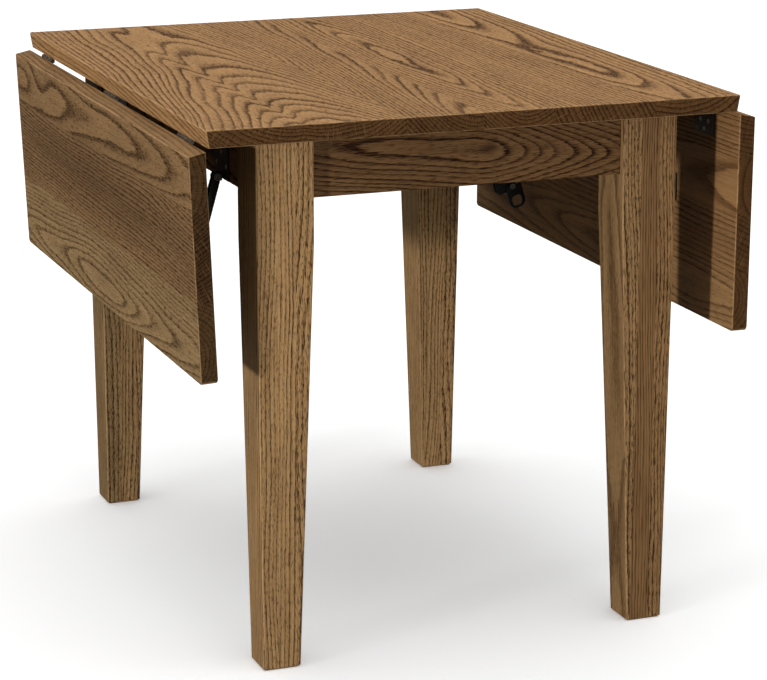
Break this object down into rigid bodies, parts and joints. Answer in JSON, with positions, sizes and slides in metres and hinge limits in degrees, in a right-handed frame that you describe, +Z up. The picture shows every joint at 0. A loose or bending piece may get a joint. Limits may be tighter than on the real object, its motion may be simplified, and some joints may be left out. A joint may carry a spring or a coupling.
{
  "type": "pembroke table",
  "caption": "Drop-leaf table: a fixed rectangular top on tapered legs, with hinged leaves that swing up from hanging to level on folding steel supports.",
  "frame": {"origin": "on the floor, under the middle of the fixed top", "axes": "+X across the hinges towards the right leaf, +Y along the hinges away from the pictured front, +Z up"},
  "size_m": [0.8091, 0.9144, 0.7556],
  "materials": {
    "wood_top": "brown-stained open-pored hardwood, satin lacquer",
    "wood_frame": "brown-stained open-pored hardwood, satin lacquer",
    "black_steel": "black enamelled sheet steel",
    "hinge_metal": "darkened steel",
    "screw_steel": "bright zinc-plated steel",
    "rivet_steel": "worn steel"
  },
  "bodies": {
    "frame": {"apron_back": "wood_frame", "apron_bracket_left_back": "black_steel", "apron_bracket_left_front": "black_steel", "apron_bracket_right_back": "black_steel", "apron_bracket_right_front": "black_steel", "apron_front": "wood_frame", "apron_left": "wood_frame", "apron_right": "wood_frame", "brace_screws": "screw_steel", "corner_braces": "wood_frame", "hinge_pins": "hinge_metal", "hinge_plate_top_left_back": "hinge_metal", "hinge_plate_top_left_front": "hinge_metal", "hinge_plate_top_left_middle": "hinge_metal", "hinge_plate_top_right_back": "hinge_metal", "hinge_plate_top_right_front": "hinge_metal", "hinge_plate_top_right_middle": "hinge_metal", "leg_back_left": "wood_frame", "leg_back_right": "wood_frame", "leg_front_left": "wood_frame", "leg_front_right": "wood_frame", "pivot_pins": "rivet_steel", "plate_screws_frame": "screw_steel", "top_panel": "wood_top"},
    "leaf_right_body": {"leaf_right": "wood_top", "plate_screws_leaf_right": "screw_steel", "leaf_bracket_pins_right": "rivet_steel", "hinge_plate_leaf_right_front": "hinge_metal", "hinge_plate_leaf_right_middle": "hinge_metal", "hinge_plate_leaf_right_back": "hinge_metal", "leaf_bracket_right_front": "black_steel", "leaf_bracket_right_back": "black_steel"},
    "leaf_left_body": {"leaf_left": "wood_top", "plate_screws_leaf_left": "screw_steel", "leaf_bracket_pins_left": "rivet_steel", "hinge_plate_leaf_left_front": "hinge_metal", "hinge_plate_leaf_left_middle": "hinge_metal", "hinge_plate_leaf_left_back": "hinge_metal", "leaf_bracket_left_front": "black_steel", "leaf_bracket_left_back": "black_steel"},
    "lower_arm_right_front_body": {"lower_arm_right_front": "black_steel", "release_rivet_right_front": "rivet_steel"},
    "upper_arm_right_front_body": {"upper_arm_right_front": "black_steel", "knee_pin_right_front": "rivet_steel"},
    "release_right_front_body": {"release_loop_right_front": "black_steel"},
    "lower_arm_right_back_body": {"lower_arm_right_back": "black_steel", "release_rivet_right_back": "rivet_steel"},
    "upper_arm_right_back_body": {"upper_arm_right_back": "black_steel", "knee_pin_right_back": "rivet_steel"},
    "release_right_back_body": {"release_loop_right_back": "black_steel"},
    "lower_arm_left_front_body": {"lower_arm_left_front": "black_steel", "release_rivet_left_front": "rivet_steel"},
    "upper_arm_left_front_body": {"upper_arm_left_front": "black_steel", "knee_pin_left_front": "rivet_steel"},
    "release_left_front_body": {"release_loop_left_front": "black_steel"},
    "lower_arm_left_back_body": {"lower_arm_left_back": "black_steel", "release_rivet_left_back": "rivet_steel"},
    "upper_arm_left_back_body": {"upper_arm_left_back": "black_steel", "knee_pin_left_back": "rivet_steel"},
    "release_left_back_body": {"release_loop_left_back": "black_steel"}
  },
  "joints": [
    {"name": "leaf_right_hinge", "type": "hinge", "parent": "frame", "child": "leaf_right_body", "pos_m": [0.3773, 0, 0.72825], "axis": [0, -1, 0], "range_deg": [0, 90.4]},
    {"name": "leaf_left_hinge", "type": "hinge", "parent": "frame", "child": "leaf_left_body", "pos_m": [-0.3773, 0, 0.72825], "axis": [0, 1, 0], "range_deg": [0, 92.3]},
    {"name": "lower_arm_right_front_pivot", "type": "hinge", "parent": "frame", "child": "lower_arm_right_front_body", "pos_m": [0.3017, -0.24689, 0.65265], "axis": [0, -1, 0], "range_deg": [0, 83.5]},
    {"name": "upper_arm_right_front_pivot", "type": "hinge", "parent": "leaf_right_body", "child": "upper_arm_right_front_body", "pos_m": [0.36896, -0.24689, 0.59432], "axis": [0, 1, 0], "range_deg": [0, 130.09]},
    {"name": "release_right_front_pivot", "type": "hinge", "parent": "lower_arm_right_front_body", "child": "release_right_front_body", "pos_m": [0.34796, -0.24689, 0.49896], "axis": [0, 1, 0], "range_deg": [0, 12], "stiffness_Nm_per_rad": 0.15, "springref_deg": -5.73},
    {"name": "lower_arm_right_back_pivot", "type": "hinge", "parent": "frame", "child": "lower_arm_right_back_body", "pos_m": [0.3017, 0.24689, 0.65265], "axis": [0, -1, 0], "range_deg": [0, 83.5]},
    {"name": "upper_arm_right_back_pivot", "type": "hinge", "parent": "leaf_right_body", "child": "upper_arm_right_back_body", "pos_m": [0.36896, 0.24689, 0.59432], "axis": [0, 1, 0], "range_deg": [0, 130.09]},
    {"name": "release_right_back_pivot", "type": "hinge", "parent": "lower_arm_right_back_body", "child": "release_right_back_body", "pos_m": [0.34796, 0.24689, 0.49896], "axis": [0, 1, 0], "range_deg": [0, 12], "stiffness_Nm_per_rad": 0.15, "springref_deg": -5.73},
    {"name": "lower_arm_left_front_pivot", "type": "hinge", "parent": "frame", "child": "lower_arm_left_front_body", "pos_m": [-0.3017, -0.24689, 0.65265], "axis": [0, 1, 0], "range_deg": [0, 84.23]},
    {"name": "upper_arm_left_front_pivot", "type": "hinge", "parent": "leaf_left_body", "child": "upper_arm_left_front_body", "pos_m": [-0.36453, -0.24689, 0.59467], "axis": [0, -1, 0], "range_deg": [0, 133.97]},
    {"name": "release_left_front_pivot", "type": "hinge", "parent": "lower_arm_left_front_body", "child": "release_left_front_body", "pos_m": [-0.34599, -0.24689, 0.49838], "axis": [0, -1, 0], "range_deg": [0, 12], "stiffness_Nm_per_rad": 0.15, "springref_deg": -5.73},
    {"name": "lower_arm_left_back_pivot", "type": "hinge", "parent": "frame", "child": "lower_arm_left_back_body", "pos_m": [-0.3017, 0.24689, 0.65265], "axis": [0, 1, 0], "range_deg": [0, 84.23]},
    {"name": "upper_arm_left_back_pivot", "type": "hinge", "parent": "leaf_left_body", "child": "upper_arm_left_back_body", "pos_m": [-0.36453, 0.24689, 0.59467], "axis": [0, -1, 0], "range_deg": [0, 133.97]},
    {"name": "release_left_back_pivot", "type": "hinge", "parent": "lower_arm_left_back_body", "child": "release_left_back_body", "pos_m": [-0.34599, 0.24689, 0.49838], "axis": [0, -1, 0], "range_deg": [0, 12], "stiffness_Nm_per_rad": 0.15, "springref_deg": -5.73}
  ],
  "couplings": [
    {"joint": "lower_arm_right_front_pivot", "follows": "leaf_right_hinge", "ratio": 0.92364},
    {"joint": "upper_arm_right_front_pivot", "follows": "leaf_right_hinge", "ratio": 1.439},
    {"joint": "lower_arm_right_back_pivot", "follows": "leaf_right_hinge", "ratio": 0.92364},
    {"joint": "upper_arm_right_back_pivot", "follows": "leaf_right_hinge", "ratio": 1.439},
    {"joint": "lower_arm_left_front_pivot", "follows": "leaf_left_hinge", "ratio": 0.91256},
    {"joint": "upper_arm_left_front_pivot", "follows": "leaf_left_hinge", "ratio": 1.4514},
    {"joint": "lower_arm_left_back_pivot", "follows": "leaf_left_hinge", "ratio": 0.91256},
    {"joint": "upper_arm_left_back_pivot", "follows": "leaf_left_hinge", "ratio": 1.4514}
  ]
}
